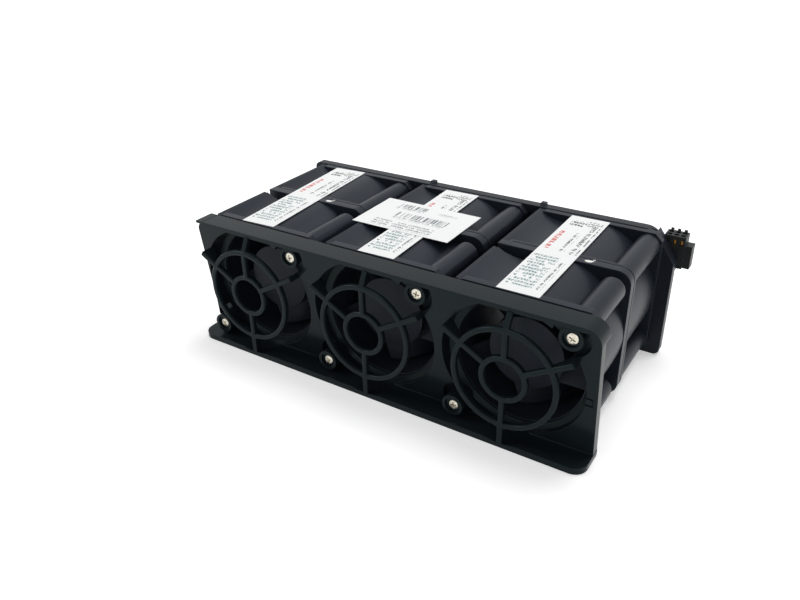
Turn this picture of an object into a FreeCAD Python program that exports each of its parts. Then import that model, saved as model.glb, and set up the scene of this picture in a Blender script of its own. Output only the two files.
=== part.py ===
import FreeCAD, Part
import math
import os

# Server fan module. Three 40 mm fans stand side by side between a guarded front bezel and a rear
# frame. Each fan is two 28 mm halves in series, and the impellers of its halves turn against each
# other. X runs along the module, Y from the air inlet to the outlet, and Z up. While it is built,
# y = 0 is the fans' inlet face and z = 0 their underside; save() moves the finished shapes so that
# the origin is the middle of the module's footprint.

V = FreeCAD.Vector

# Fans
FAN_COUNT = 3
FAN_SIZE = 40.0            # square flange
FAN_GAP = 3.8              # between neighbouring fans
HALF_DEPTH = 28.0          # one half, inlet face to joint
BOLT_INSET = 4.0           # from a flange's sides to its holes
FLANGE_CORNER = 4.0        # joint flange's corner radius
FLANGE_CHAMFER = 2.3       # corners of the flange at the fan's open end
END_FLANGE = 2.4           # flange at the fan's open end
FRONT_JOINT_FLANGE = 3.0   # front half's flange at the joint
REAR_JOINT_FLANGE = 1.4    # rear half's flange at the joint
DUCT_INSET = 0.15          # duct's outside within the flange's sides
DUCT_WALL = 1.25
POST_RADIUS = 3.6          # corner post round each bolt hole
POST_STOP = 2.2            # front half's posts end this far short of the joint flange
SCREW_RADIUS = 1.5         # shank of every screw, and the hole that it cuts its thread in

# Motor, measured from the open end of its half
STRUT_COUNT = 4
STRUT_WIDTH = 1.8
BASE_INSET = 1.4           # motor base to the joint face
BASE_THICKNESS = 2.2
STRUT_DEPTH = 3.2
BASE_RADIUS = 10.8
BEARING_RADIUS = 3.0       # bearing sleeve, pressed into the motor base
BEARING_FLOOR = 0.8        # base left under the sleeve
SHAFT_RADIUS = 1.0
SHAFT_PLAY = 0.03          # radial running clearance in the bearings
HUB_RADIUS = 11.0
HUB_WALL = 3.1             # plastic skin with the steel cup and the ring magnet moulded into it
HUB_START = 4.2            # open end to the hub's nose
HUB_GAP = 3.6              # hub's rim to the motor base
HUB_NOSE = 1.2             # thickness of the nose
AIR_GAP = 0.4              # magnet to stator
CORE_DEPTH = 7.0
CORE_OFFSET = 4.6          # behind the hub's nose, inside
CORE_RING = 0.9
POLE_COUNT = 4
POLE_NECK = 2.2
POLE_SHOE = 0.9            # thickness at the air gap
POLE_SPAN = 66.0           # degrees of the air gap that one pole covers
COIL_WIDTH = 1.3           # winding beyond the neck, each side
BOARD_THICKNESS = 1.0
BOARD_MARGIN = 1.2         # board's edge inside the motor base's edge

# Blades
FRONT_BLADES = 5
REAR_BLADES = 4
TIP_GAP = 0.5              # blade tip to duct
BLADE_THICKNESS = 1.0
BLADE_START = 1.4          # behind the hub's nose
BLADE_END = 1.7            # ahead of the hub's rim
BLADE_ANGLE = 46.0         # chord from the axis
BLADE_CAMBER = 0.09        # of the chord

# Front bezel
END_MARGIN = 3.7           # ledge's end beyond the last fan
TOP_COVER = 0.2            # rim's top above the fans
FOOT_THICKNESS = 2.0       # ledge under the bezel, and how far the rear frame reaches below the fans
BEZEL_LEAN_TOP = 8.0       # bezel's face ahead of the fans, at the top
BEZEL_LEAN_FOOT = 3.0      # and where it meets the ledge
BEZEL_PLATE = 3.0
BEZEL_INSETS = (1.9, 0.1)  # plate's left and right ends inside the ledge's ends
BEZEL_CORNERS = (3.0, 4.5)  # plate's upper corners, left and right
RIM_THICKNESS = 1.5
RIM_GAP = 1.0              # between the rim and the fans
FOOT_REACH = 10.6          # ledge ahead of the fans
FOOT_CORNER = 4.0
OPENING_MARGIN = 0.6       # inlet beyond the fan's sides
SHROUD_WALL = 1.6
BOSS_RADIUS = 3.2
POCKET_RADIUS = 5.2        # recess in the plate round each boss
POCKET_DEPTH = 1.6
BOSS_REACH = 7.8           # boss face ahead of the fans
HEAD_RADIUS = 2.0
HEAD_HEIGHT = 1.3
HEAD_CLEARANCE = 0.3       # round and above a screw head in its boss
SCREW_LENGTH = 14.0        # under the head
SHANK_CLEARANCE = 0.2      # a screw's hole in the bezel, round its shank
MARK_SIZE = 2.6            # square mould mark on the bezel's right panel
MARK_HEIGHT = 16.5
MARK_INSET = 2.3           # mark's middle inside the plate's end
MARK_GROOVE = 0.35

# Guards, one in each opening
GUARD_BAR = 1.6
GUARD_DEPTH = 1.7
GUARD_RING_RADIUS = 15.3
GUARD_EYE_RADIUS = 7.0
GUARD_SPOKES = (30.0, 90.0, 150.0, 270.0)

# Rear frame
FRAME_PLATE = 1.8
FRAME_DEPTH = 3.2
FRAME_CORNER = 2.0
OUTLET_MARGIN = 0.7        # outlet within the fan's sides
OUTLET_WALL = 1.3
CUT_DROP = 10.0            # the corner cut off beside the connector
CUT_WIDTH = 7.0
CUT_ROUND = 6.0
HOOK_WIDTH = 1.8
HOOK_RISE = 0.8
HOOK_REACH = 1.6
HOOK_PLACES = (-16.8, 24.3)

# Connector
CONNECTOR_WIDTH = 6.4
CONNECTOR_DEPTH = 4.6
CONNECTOR_HEIGHT = 10.4
CONNECTOR_DROP = 2.8       # top of the connector below the module's top
CONNECTOR_STANDOFF = 1.6   # behind the rear frame
CONNECTOR_OVERHANG = 1.4   # past the module's end
CONTACT_COLUMNS = 3
CONTACT_ROWS = 2
CONTACT_PITCH = 2.0
CAVITY_SIZE = 1.3
CAVITY_DEPTH = 7.0
WINDOW_HEIGHT = 2.0
WINDOW_DROP = 1.2          # below the connector's top
RIB_HEIGHT = 0.7           # ribs on the connector's rear edge
RIB_WIDTH = 0.9
RIB_DEPTH = 0.4
WING_WIDTH = 2.0
WING_HEIGHT = 7.4
CONTACT_WIDTH = 0.5

# Lead exit, under each fan's rear duct and out through the rear frame
NOTCH_SHIFT = 9.0          # beside the fan's axis
NOTCH_WIDTH = 3.0
NOTCH_HEIGHT = 2.4         # above the fan's underside

# Labels
LABEL_THICKNESS = 0.12
LABEL_WIDTH = 12.6
LABEL_MARGINS = (0.3, 1.3)  # fan's faces beyond the label's ends, front and rear
LABEL_PLACES = ((-4.4, 3.6), (-2.8, 1.6), (-2.2, 0.5))  # offset from the fan's axis, and turn
WIDE_LABEL = (34.0, 21.4)
WIDE_LABEL_SHIFT = (-5.2, -0.2)

FAN_DEPTH = 2 * HALF_DEPTH
FAN_PITCH = FAN_SIZE + FAN_GAP
AXIS_HEIGHT = FAN_SIZE / 2
FAN_AXES = [(i - (FAN_COUNT - 1) / 2) * FAN_PITCH for i in range(FAN_COUNT)]
BORE_RADIUS = AXIS_HEIGHT - DUCT_INSET - DUCT_WALL
BOLT = AXIS_HEIGHT - BOLT_INSET
BEZEL_SCREWS = ((BOLT, BOLT), (-BOLT, -BOLT))
OPENING_RADIUS = AXIS_HEIGHT + OPENING_MARGIN
OUTLET_RADIUS = AXIS_HEIGHT - OUTLET_MARGIN
MODULE_TOP = FAN_SIZE + TOP_COVER
CONNECTOR_TOP = MODULE_TOP - CONNECTOR_DROP
BASE_START = HALF_DEPTH - BASE_INSET - BASE_THICKNESS
HUB_DEPTH = BASE_START - HUB_GAP - HUB_START
BLADE_DEPTH = HUB_DEPTH - BLADE_START - BLADE_END
STATOR_RADIUS = HUB_RADIUS - HUB_WALL - AIR_GAP
TIP_RADIUS = BORE_RADIUS - TIP_GAP
HOLLOW_START = HUB_START + HUB_NOSE
CORE_START = HOLLOW_START + CORE_OFFSET
BEARING_END = BASE_START + BASE_THICKNESS - BEARING_FLOOR
SCREW_DEPTH = HEAD_HEIGHT + HEAD_CLEARANCE - BOSS_REACH + SCREW_LENGTH + HEAD_CLEARANCE
FRAME_BACK = FAN_DEPTH + FRAME_DEPTH
CONNECTOR_FRONT = FRAME_BACK + CONNECTOR_STANDOFF
CONNECTOR_BACK = CONNECTOR_FRONT + CONNECTOR_DEPTH
SIDE = FAN_AXES[-1] + AXIS_HEIGHT + END_MARGIN
CONNECTOR_RIGHT = SIDE + CONNECTOR_OVERHANG
CONNECTOR_LEFT = CONNECTOR_RIGHT - CONNECTOR_WIDTH
BEZEL_LEFT = BEZEL_INSETS[0] - SIDE
BEZEL_RIGHT = SIDE - BEZEL_INSETS[1]
LINTEL = MODULE_TOP - RIM_THICKNESS   # underside of the rim along the module's top


# --- shapes -------------------------------------------------------------------------------------

def box(x0, x1, y0, y1, z0, z1):
    """Block between two corners."""
    return Part.makeBox(x1 - x0, y1 - y0, z1 - z0, V(x0, y0, z0))


def rod(radius, y0, y1, x=0.0, z=0.0):
    """Cylinder along Y."""
    return Part.makeCylinder(radius, y1 - y0, V(x, y0, z), V(0, 1, 0))


def turned(profile):
    """Solid of revolution about the Y axis from (radius, y) points."""
    points = [V(r, y, 0) for r, y in profile]
    face = Part.Face(Part.makePolygon(points + points[:1]))
    return face.revolve(V(0, 0, 0), V(0, 1, 0), 360)


def ring(outer, inner, y0, y1):
    """Ring round the Y axis."""
    return turned([(inner, y0), (outer, y0), (outer, y1), (inner, y1)])


def outline(corners, plane="XZ"):
    """Closed wire through (a, b, radius) corners, each rounded by its own radius."""
    lift = (lambda a, b: V(a, 0, b)) if plane == "XZ" else (lambda a, b: V(a, b, 0))
    points = [lift(a, b) for a, b, _ in corners]
    starts, ends, edges = [], [], []
    for i, (_, _, radius) in enumerate(corners):
        here = points[i]
        back = (points[i - 1] - here).normalize()
        ahead = (points[(i + 1) % len(points)] - here).normalize()
        half = back.getAngle(ahead) / 2
        trim = radius / math.tan(half)
        starts.append(here + back * trim)
        ends.append(here + ahead * trim)
        if radius:
            towards = (back + ahead).normalize()
            middle = here + towards * (radius / math.sin(half) - radius)
            edges.append(Part.Arc(starts[i], middle, ends[i]).toShape())
    for i, end in enumerate(ends):
        edges.append(Part.makeLine(end, starts[(i + 1) % len(starts)]))
    return Part.Wire(Part.__sortEdges__(edges))


def prism(wire, start, stop, direction=V(0, 1, 0)):
    """Solid between two levels along a direction from a flat wire at level 0."""
    face = Part.Face(wire)
    face.translate(direction * start)
    return face.extrude(direction * (stop - start))


def rail(profile, x0, x1):
    """Solid along X from (y, z) points."""
    points = [V(x0, y, z) for y, z in profile]
    return Part.Face(Part.makePolygon(points + points[:1])).extrude(V(x1 - x0, 0, 0))


def fused(shapes):
    """One shape from several that meet."""
    shapes = list(shapes)
    return shapes[0].multiFuse(shapes[1:]).removeSplitter() if len(shapes) > 1 else shapes[0]


def turned_by(shape, degrees):
    """Copy turned about the Y axis, anticlockwise as the air inlet shows it."""
    copy = shape.copy()
    copy.rotate(V(0, 0, 0), V(0, 1, 0), -degrees)
    return copy


def moved(shape, x=0.0, y=0.0, z=0.0):
    """Copy moved by a distance."""
    copy = shape.copy()
    copy.translate(V(x, y, z))
    return copy


def rectangle(half_width, low, high, radius):
    """Rounded rectangle's corners for outline(), middle on X = 0."""
    return [(-half_width, low, radius), (half_width, low, radius),
            (half_width, high, radius), (-half_width, high, radius)]


def clipped_square(half, clip):
    """Square's corners for outline(), each cut off straight."""
    near = half - clip
    corners = [(half, near), (near, half), (-near, half), (-half, near)]
    corners += [(-x, -z) for x, z in corners]
    return [(x, z, 0) for x, z in corners]


# --- one half of a fan, axis on Y, open end at y = 0 ----------------------------------------------

def housing(is_front):
    """Duct with flanges, corner posts, motor base, bearing tube and struts."""
    half = FAN_SIZE / 2
    joint = FRONT_JOINT_FLANGE if is_front else REAR_JOINT_FLANGE
    rounded = outline(rectangle(half, -half, half, FLANGE_CORNER))
    clipped = outline(clipped_square(half, FLANGE_CHAMFER))
    post_end = HALF_DEPTH - joint - (POST_STOP if is_front else 0)
    bolts = [(x, z) for x in (-BOLT, BOLT) for z in (-BOLT, BOLT)]
    body = [prism(clipped, 0, END_FLANGE), prism(rounded, HALF_DEPTH - joint, HALF_DEPTH)]
    body.append(rod(BORE_RADIUS + DUCT_WALL, 0, HALF_DEPTH))
    body += [rod(POST_RADIUS, 0, post_end, x, z) for x, z in bolts]
    hollows = [rod(BORE_RADIUS, 0, HALF_DEPTH)]
    if is_front:
        hollows += [rod(SCREW_RADIUS, 0, SCREW_DEPTH, x, z) for x, z in BEZEL_SCREWS]
    else:
        hollows.append(lead_notch(0, END_FLANGE))
    return fused([fused(body).cut(hollows), motor_base()])


def lead_notch(y0, y1):
    """Notch that a fan's leads leave by, open downwards, beside the fan's axis."""
    half = NOTCH_WIDTH / 2
    return box(NOTCH_SHIFT - half, NOTCH_SHIFT + half, y0, y1, -AXIS_HEIGHT - FOOT_THICKNESS,
               NOTCH_HEIGHT - AXIS_HEIGHT)


def motor_base():
    """Base plate with a seat for the bearing sleeve, on struts that reach into the duct's wall."""
    end = BASE_START + BASE_THICKNESS
    base = rod(BASE_RADIUS, BASE_START, end).cut(rod(BEARING_RADIUS, BASE_START, BEARING_END))
    bar = box(BASE_RADIUS - BOARD_MARGIN / 2, BORE_RADIUS + DUCT_WALL / 2, end - STRUT_DEPTH, end,
              -STRUT_WIDTH / 2, STRUT_WIDTH / 2)
    turns = [360.0 * (i + 0.5) / STRUT_COUNT for i in range(STRUT_COUNT)]
    return fused([base] + [turned_by(bar, turn) for turn in turns])


def impeller(blades, hand):
    """Hub with its blades, hollow for the stator; hand -1 is the mirror image."""
    end = HUB_START + HUB_DEPTH
    one = blade(hand)
    hub = rod(HUB_RADIUS, HUB_START, end)
    around = fused([turned_by(one, 360.0 * i / blades) for i in range(blades)] + [hub])
    return around.cut(rod(HUB_RADIUS - HUB_WALL, HOLLOW_START, end))


def blade(hand):
    """Cambered blade, run out from inside the hub's skin and trimmed to the tip radius."""
    sweep = BLADE_DEPTH * math.tan(math.radians(BLADE_ANGLE)) / 2
    root = math.sqrt(HUB_RADIUS ** 2 - sweep ** 2) - BLADE_THICKNESS
    start = HUB_START + BLADE_START
    lead, trail = V(root, start, -sweep * hand), V(root, start + BLADE_DEPTH, sweep * hand)
    normal = V(0, -math.sin(math.radians(BLADE_ANGLE)), math.cos(math.radians(BLADE_ANGLE)) * hand)
    bow = BLADE_CAMBER * (trail - lead).Length
    middle = (lead + trail) * 0.5
    arcs = [Part.Arc(lead, middle + normal * bow, trail),
            Part.Arc(trail, middle + normal * (bow - BLADE_THICKNESS), lead)]
    section = Part.Face(Part.Wire([arc.toShape() for arc in arcs]))
    return section.extrude(V(TIP_RADIUS, 0, 0)).common(rod(TIP_RADIUS, 0, HALF_DEPTH))


def shaft():
    """Shaft from the hub's nose to the floor under the bearing sleeve."""
    return rod(SHAFT_RADIUS, HOLLOW_START, BEARING_END - SHAFT_PLAY)


def bearing():
    """Bearing sleeve that carries the shaft and the stator core."""
    return rod(BEARING_RADIUS, CORE_START, BEARING_END).cut(
        rod(SHAFT_RADIUS + SHAFT_PLAY, CORE_START, BEARING_END))


def pole_points(start, turn):
    """Outline of one pole of the stator core, from its neck's foot and round its shoe to the foot again."""
    neck, span = POLE_NECK / 2, math.radians(POLE_SPAN / 2)
    shoe = STATOR_RADIUS - POLE_SHOE
    tip_x, tip_z = STATOR_RADIUS * math.cos(span), STATOR_RADIUS * math.sin(span)
    under = tip_x - POLE_SHOE / 2
    side = [(start, neck), (shoe, neck), (under, tip_z), (tip_x, tip_z)]
    flat = STATOR_RADIUS * math.sin(span / 3)
    crown = math.sqrt(STATOR_RADIUS ** 2 - flat ** 2)
    side.append((crown, flat))
    points = [(a, -b) for a, b in side] + side[::-1]
    cosine, sine = math.cos(turn), math.sin(turn)
    return [(a * cosine - b * sine, a * sine + b * cosine, 0) for a, b in points]


def core():
    """Stator core: poles round the bearing sleeve."""
    foot = BEARING_RADIUS + CORE_RING
    corners = []
    for i in range(POLE_COUNT):
        corners += pole_points(foot, 2 * math.pi * i / POLE_COUNT)
    laminations = prism(outline(corners), CORE_START, CORE_START + CORE_DEPTH)
    return laminations.cut(rod(BEARING_RADIUS, CORE_START, CORE_START + CORE_DEPTH))


def coils():
    """One winding round each pole's neck."""
    wide = POLE_NECK / 2 + COIL_WIDTH
    inner = BEARING_RADIUS + CORE_RING
    outer = STATOR_RADIUS - POLE_SHOE - COIL_WIDTH / 2
    end = CORE_START + CORE_DEPTH
    winding = box(inner, outer, CORE_START - COIL_WIDTH, end + COIL_WIDTH, -wide, wide)
    winding = winding.cut(box(inner, outer, CORE_START, end, -POLE_NECK / 2, POLE_NECK / 2))
    return [turned_by(winding, 360.0 * i / POLE_COUNT) for i in range(POLE_COUNT)]


def octagon(radius):
    """Corners of an eight-sided outline."""
    turns = [math.radians(45 * i) for i in range(8)]
    return [(radius * math.cos(turn), radius * math.sin(turn), 0) for turn in turns]


def board():
    """Eight-sided circuit board round the bearing sleeve, on the motor base."""
    start = BASE_START - BOARD_THICKNESS
    plate = prism(outline(octagon(BASE_RADIUS - BOARD_MARGIN)), start, BASE_START)
    return plate.cut(prism(outline(octagon(BEARING_RADIUS + BOARD_MARGIN)), start, BASE_START))


def placed(shape, axis, is_front):
    """A half's piece put at its fan; the rear half is the front one seen in a mirror at the joint."""
    where = moved(shape, axis, 0, AXIS_HEIGHT)
    return where if is_front else where.mirror(V(0, HALF_DEPTH, 0), V(0, 1, 0))


# --- front bezel ----------------------------------------------------------------------------------

def face_at(height):
    """Y of the bezel's leaning face at a height."""
    lean = (BEZEL_LEAN_TOP - BEZEL_LEAN_FOOT) / MODULE_TOP
    return -(BEZEL_LEAN_FOOT + lean * height)


def leaning(y_front, y_back, low, high, x0, x1):
    """Slab between two offsets from the leaning face, or back to y = 0 where y_back is None."""
    back = [(0.0, high), (0.0, low)] if y_back is None else \
        [(face_at(high) + y_back, high), (face_at(low) + y_back, low)]
    return rail([(face_at(low) + y_front, low), (face_at(high) + y_front, high)] + back, x0, x1)


def opening():
    """Air inlet of one fan, round with a flat top under the rim."""
    wide = 2 * OPENING_RADIUS
    flat_top = box(-wide, wide, -FOOT_REACH, 0, -wide, LINTEL - AXIS_HEIGHT)
    return rod(OPENING_RADIUS, -FOOT_REACH, 0).common(flat_top)


def guard():
    """Two rings on spokes that end in webs running back to the plate."""
    front, back = -FOOT_REACH, GUARD_DEPTH - FOOT_REACH
    pieces = [ring(r, r - GUARD_BAR, front, back) for r in (GUARD_RING_RADIUS, GUARD_EYE_RADIUS)]
    for angle in GUARD_SPOKES:
        pieces.append(turned_by(spoke(angle, front, back), angle))
    return fused(pieces)


def spoke(angle, front, back):
    """One spoke along +X. Its web reaches the opening's wall, or slants back to the rim above."""
    rise = math.sin(math.radians(angle))
    slants = rise == 1
    wall = (LINTEL - AXIS_HEIGHT if slants else OPENING_RADIUS) + GUARD_BAR / 4
    height = AXIS_HEIGHT + wall * rise
    root = face_at(height) + BEZEL_PLATE / 2 if height > 0 else back
    outer = root - GUARD_DEPTH if slants else front
    start, bend = GUARD_EYE_RADIUS - GUARD_BAR / 2, GUARD_RING_RADIUS - GUARD_BAR / 2
    profile = [(start, front), (bend, front), (wall, outer), (wall, root), (bend, back), (start, back)]
    points = [V(out, y, 0) for out, y in profile]
    face = Part.Face(Part.makePolygon(points + points[:1]))
    face.translate(V(0, 0, -GUARD_BAR / 2))
    return face.extrude(V(0, 0, GUARD_BAR))


def mould_mark():
    """Groove round a small square on the bezel's right panel."""
    right = BEZEL_RIGHT - MARK_INSET + MARK_SIZE / 2
    half = MARK_SIZE / 2
    skin = leaning(0, MARK_GROOVE, 0, MODULE_TOP, right - MARK_SIZE, right)
    middle = right - half
    outer = box(middle - half, right, -FOOT_REACH, 0, MARK_HEIGHT, MARK_HEIGHT + MARK_SIZE)
    inner = box(middle - half + MARK_GROOVE, right - MARK_GROOVE, -FOOT_REACH, 0,
                MARK_HEIGHT + MARK_GROOVE, MARK_HEIGHT + MARK_SIZE - MARK_GROOVE)
    return outer.cut(inner).common(skin)


def bezel_outline(inset):
    """Closed wire round the plate, or inside its rim."""
    left, right, top = BEZEL_LEFT + inset, BEZEL_RIGHT - inset, MODULE_TOP - inset
    round_left, round_right = (radius - inset for radius in BEZEL_CORNERS)
    return outline([(left, 0, 0), (right, 0, 0), (right, top, round_right), (left, top, round_left)])


def bezel():
    """Leaning front plate with rim, ledge, shrouds, screw bosses and guards, moulded in one."""
    silhouette = prism(bezel_outline(0), -BEZEL_LEAN_TOP, 0)
    plate = leaning(0, BEZEL_PLATE, 0, MODULE_TOP, BEZEL_LEFT, BEZEL_RIGHT).common(silhouette)
    rim = silhouette.cut(prism(bezel_outline(RIM_THICKNESS), -BEZEL_LEAN_TOP, 0))
    rim = rim.common(leaning(0, None, MODULE_TOP - BEZEL_CORNERS[1], MODULE_TOP, BEZEL_LEFT, BEZEL_RIGHT))
    gap = box(BEZEL_LEFT, BEZEL_RIGHT, -RIM_GAP, 0, MODULE_TOP - BEZEL_CORNERS[1], MODULE_TOP)
    corners = [(-SIDE, 0, 0), (-SIDE, -FOOT_REACH, FOOT_CORNER), (SIDE, -FOOT_REACH, FOOT_CORNER), (SIDE, 0, 0)]
    foot = prism(outline(corners, "XY"), -FOOT_THICKNESS, 0, V(0, 0, 1))
    behind = leaning(0, None, -FOOT_THICKNESS, LINTEL + RIM_THICKNESS / 2, BEZEL_LEFT, BEZEL_RIGHT)
    shrouds = [rod(OPENING_RADIUS + SHROUD_WALL, -BEZEL_LEAN_TOP, 0, axis, AXIS_HEIGHT) for axis in FAN_AXES]
    places = [(axis + x, AXIS_HEIGHT + z) for axis in FAN_AXES for x, z in BEZEL_SCREWS]
    skin = leaning(0, POCKET_DEPTH, 0, LINTEL, BEZEL_LEFT, BEZEL_RIGHT)
    pockets = [rod(POCKET_RADIUS, -BEZEL_LEAN_TOP, 0, x, z).common(skin) for x, z in places]
    body = fused([plate, rim.cut(gap), foot] + [shroud.common(behind) for shroud in shrouds])
    body = body.cut([moved(opening(), axis, 0, AXIS_HEIGHT) for axis in FAN_AXES] + pockets + [mould_mark()])
    bosses = [rod(BOSS_RADIUS, -BOSS_REACH, 0, x, z) for x, z in places]
    body = fused([body] + bosses + [moved(guard(), axis, 0, AXIS_HEIGHT) for axis in FAN_AXES])
    seat = HEAD_HEIGHT + HEAD_CLEARANCE - BOSS_REACH
    wells = [rod(HEAD_RADIUS + HEAD_CLEARANCE, -BOSS_REACH, seat, x, z) for x, z in places]
    holes = [rod(SCREW_RADIUS + SHANK_CLEARANCE, -BOSS_REACH, 0, x, z) for x, z in places]
    return body.cut(wells + holes)


# --- rear frame -----------------------------------------------------------------------------------

def frame_corners(inset):
    """Corners of the rear frame's outline, with one corner cut off beside the connector."""
    side, top, low = SIDE - inset, MODULE_TOP - inset, inset - FOOT_THICKNESS
    return [(-side, low, FRAME_CORNER), (side, low, FRAME_CORNER), (side, top - CUT_DROP, 0),
            (side - CUT_WIDTH, top, CUT_ROUND), (-side, top, FRAME_CORNER)]


def rear_frame():
    """Plate with a rim, an outlet for each fan, and holders for the leads and the connector."""
    plate_back = FAN_DEPTH + FRAME_PLATE
    whole = prism(outline(frame_corners(0)), FAN_DEPTH, FRAME_BACK)
    body = whole.cut(prism(outline(frame_corners(RIM_THICKNESS)), plate_back, FRAME_BACK))
    collars = [rod(OUTLET_RADIUS + OUTLET_WALL, FAN_DEPTH, FRAME_BACK, axis, AXIS_HEIGHT) for axis in FAN_AXES]
    body = fused([body] + [collar.common(whole) for collar in collars])
    low = RIM_THICKNESS - FOOT_THICKNESS
    duct = rod(OUTLET_RADIUS, FAN_DEPTH, FRAME_BACK).common(
        box(-FAN_SIZE, FAN_SIZE, FAN_DEPTH, FRAME_BACK, low - AXIS_HEIGHT, LINTEL - AXIS_HEIGHT))
    slot = lead_notch(FAN_DEPTH, FRAME_BACK)
    body = body.cut([moved(piece, axis, 0, AXIS_HEIGHT) for axis in FAN_AXES for piece in (duct, slot)])
    return fused([body] + hooks() + [connector_holder()])


def hooks():
    """Catches on top of the frame's rim."""
    top = MODULE_TOP + HOOK_RISE
    profile = [(FAN_DEPTH + HOOK_RISE, LINTEL), (FAN_DEPTH + HOOK_RISE, MODULE_TOP), (FRAME_BACK - HOOK_REACH, top),
               (FRAME_BACK, top), (FRAME_BACK, LINTEL)]
    return [rail(profile, x - HOOK_WIDTH / 2, x + HOOK_WIDTH / 2) for x in HOOK_PLACES]


def connector_holder():
    """Ledge under the cut corner and a cheek beside the connector."""
    corners = frame_corners(0)
    (x1, z1, _), (x0, z0, _) = corners[2], corners[3]
    slope = (z1 - z0) / (x1 - x0)
    left = CONNECTOR_LEFT - RIM_THICKNESS
    bottom = CONNECTOR_TOP - CONNECTOR_HEIGHT
    top_left = z0 + slope * (left - x0)
    ledge = [(left, bottom, 0), (x1, bottom, 0), (x1, z1, 0), (left, top_left, 0)]
    front = prism(outline(ledge), FRAME_BACK - FRAME_PLATE, CONNECTOR_FRONT)
    cheek = box(left, CONNECTOR_LEFT, CONNECTOR_FRONT, CONNECTOR_BACK, bottom, CONNECTOR_TOP - WING_WIDTH)
    return fused([front, cheek])


# --- connector ------------------------------------------------------------------------------------

def contact_places():
    """(x, y) of each contact's middle."""
    middle_x = (CONNECTOR_LEFT + CONNECTOR_RIGHT) / 2
    middle_y = (CONNECTOR_FRONT + CONNECTOR_BACK) / 2
    columns = [middle_x + (i - (CONTACT_COLUMNS - 1) / 2) * CONTACT_PITCH for i in range(CONTACT_COLUMNS)]
    rows = [middle_y + (i - (CONTACT_ROWS - 1) / 2) * CONTACT_PITCH for i in range(CONTACT_ROWS)]
    return [(x, y) for y in rows for x in columns]


def connector_housing():
    """Housing with cavities open at the top, lance windows in its face, ribs and a keying wing."""
    bottom = CONNECTOR_TOP - CONNECTOR_HEIGHT
    block = box(CONNECTOR_LEFT, CONNECTOR_RIGHT, CONNECTOR_FRONT, CONNECTOR_BACK, bottom, CONNECTOR_TOP)
    wing = box(CONNECTOR_RIGHT, CONNECTOR_RIGHT + WING_WIDTH, CONNECTOR_FRONT + WING_WIDTH / 2, CONNECTOR_BACK,
               bottom, bottom + WING_HEIGHT)
    half = CAVITY_SIZE / 2
    places = contact_places()
    columns = sorted({x for x, _ in places})
    ribs = [box(x - RIB_WIDTH / 2, x + RIB_WIDTH / 2, CONNECTOR_BACK - RIB_DEPTH, CONNECTOR_BACK,
                CONNECTOR_TOP - RIB_DEPTH, CONNECTOR_TOP + RIB_HEIGHT) for x in columns]
    cavities = [box(x - half, x + half, y - half, y + half, CONNECTOR_TOP - CAVITY_DEPTH, CONNECTOR_TOP)
                for x, y in places]
    window_top = CONNECTOR_TOP - WINDOW_DROP
    front_row = min(y for _, y in places)
    windows = [box(x - RIB_WIDTH / 2, x + RIB_WIDTH / 2, CONNECTOR_FRONT, front_row, window_top - WINDOW_HEIGHT,
                   window_top) for x in columns]
    return fused([block, wing] + ribs).cut(cavities + windows)


def contacts():
    """One contact standing on the floor of each cavity."""
    half = CONTACT_WIDTH / 2
    floor = CONNECTOR_TOP - CAVITY_DEPTH
    return [box(x - half, x + half, y - half, y + half, floor, CONNECTOR_TOP - WINDOW_DROP)
            for x, y in contact_places()]


# --- labels and screws ----------------------------------------------------------------------------

def label(shift, turn):
    """Long label on top of one fan, from end to end, turned a little as it was stuck."""
    front, rear = LABEL_MARGINS[0], FAN_DEPTH - LABEL_MARGINS[1]
    sheet = box(-LABEL_WIDTH / 2, LABEL_WIDTH / 2, front, rear, 0, LABEL_THICKNESS)
    sheet.rotate(V(0, (front + rear) / 2, 0), V(0, 0, 1), turn)
    return moved(sheet, shift, 0, FAN_SIZE)


def wide_label():
    """Wide label across the middle fan, over its long one."""
    half_x, half_y = WIDE_LABEL[0] / 2, WIDE_LABEL[1] / 2
    sheet = box(-half_x, half_x, -half_y, half_y, 0, LABEL_THICKNESS)
    return moved(sheet, WIDE_LABEL_SHIFT[0], HALF_DEPTH + WIDE_LABEL_SHIFT[1], FAN_SIZE + LABEL_THICKNESS)


def screws():
    """Screws of the bezel, heads in their bosses and shanks in the fans' posts."""
    seat = HEAD_HEIGHT + HEAD_CLEARANCE - BOSS_REACH
    one = rod(HEAD_RADIUS, seat - HEAD_HEIGHT, seat).fuse(rod(SCREW_RADIUS, seat, seat + SCREW_LENGTH))
    return [moved(one, axis + x, 0, AXIS_HEIGHT + z) for axis in FAN_AXES for x, z in BEZEL_SCREWS]


# --- nodes ----------------------------------------------------------------------------------------

def origin():
    """Middle of the module's footprint on the surface that it stands on."""
    right = CONNECTOR_RIGHT + WING_WIDTH
    return V((right - SIDE) / 2, (CONNECTOR_BACK - FOOT_REACH) / 2, -FOOT_THICKNESS)


def save(node, shape):
    """Write one node, moved to the module's own origin."""
    solids = Part.makeCompound(shape) if isinstance(shape, list) else shape.copy()
    solids.translate(origin() * -1)
    solids.exportStep(os.path.join("parts", node + ".step"))


def fan_nodes():
    """Housings of each row of fan halves, and each rotor's impeller and shaft."""
    for is_front, side, blades in ((True, "front", FRONT_BLADES), (False, "rear", REAR_BLADES)):
        shell = housing(is_front)
        save(f"{side}_fan_housings", [placed(shell, axis, is_front) for axis in FAN_AXES])
        pieces = {"impeller": impeller(blades, 1 if is_front else -1), "shaft": shaft()}
        for number, axis in enumerate(FAN_AXES, 1):
            for name, shape in pieces.items():
                save(f"fan_{number}_{side}_{name}", placed(shape, axis, is_front))


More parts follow.
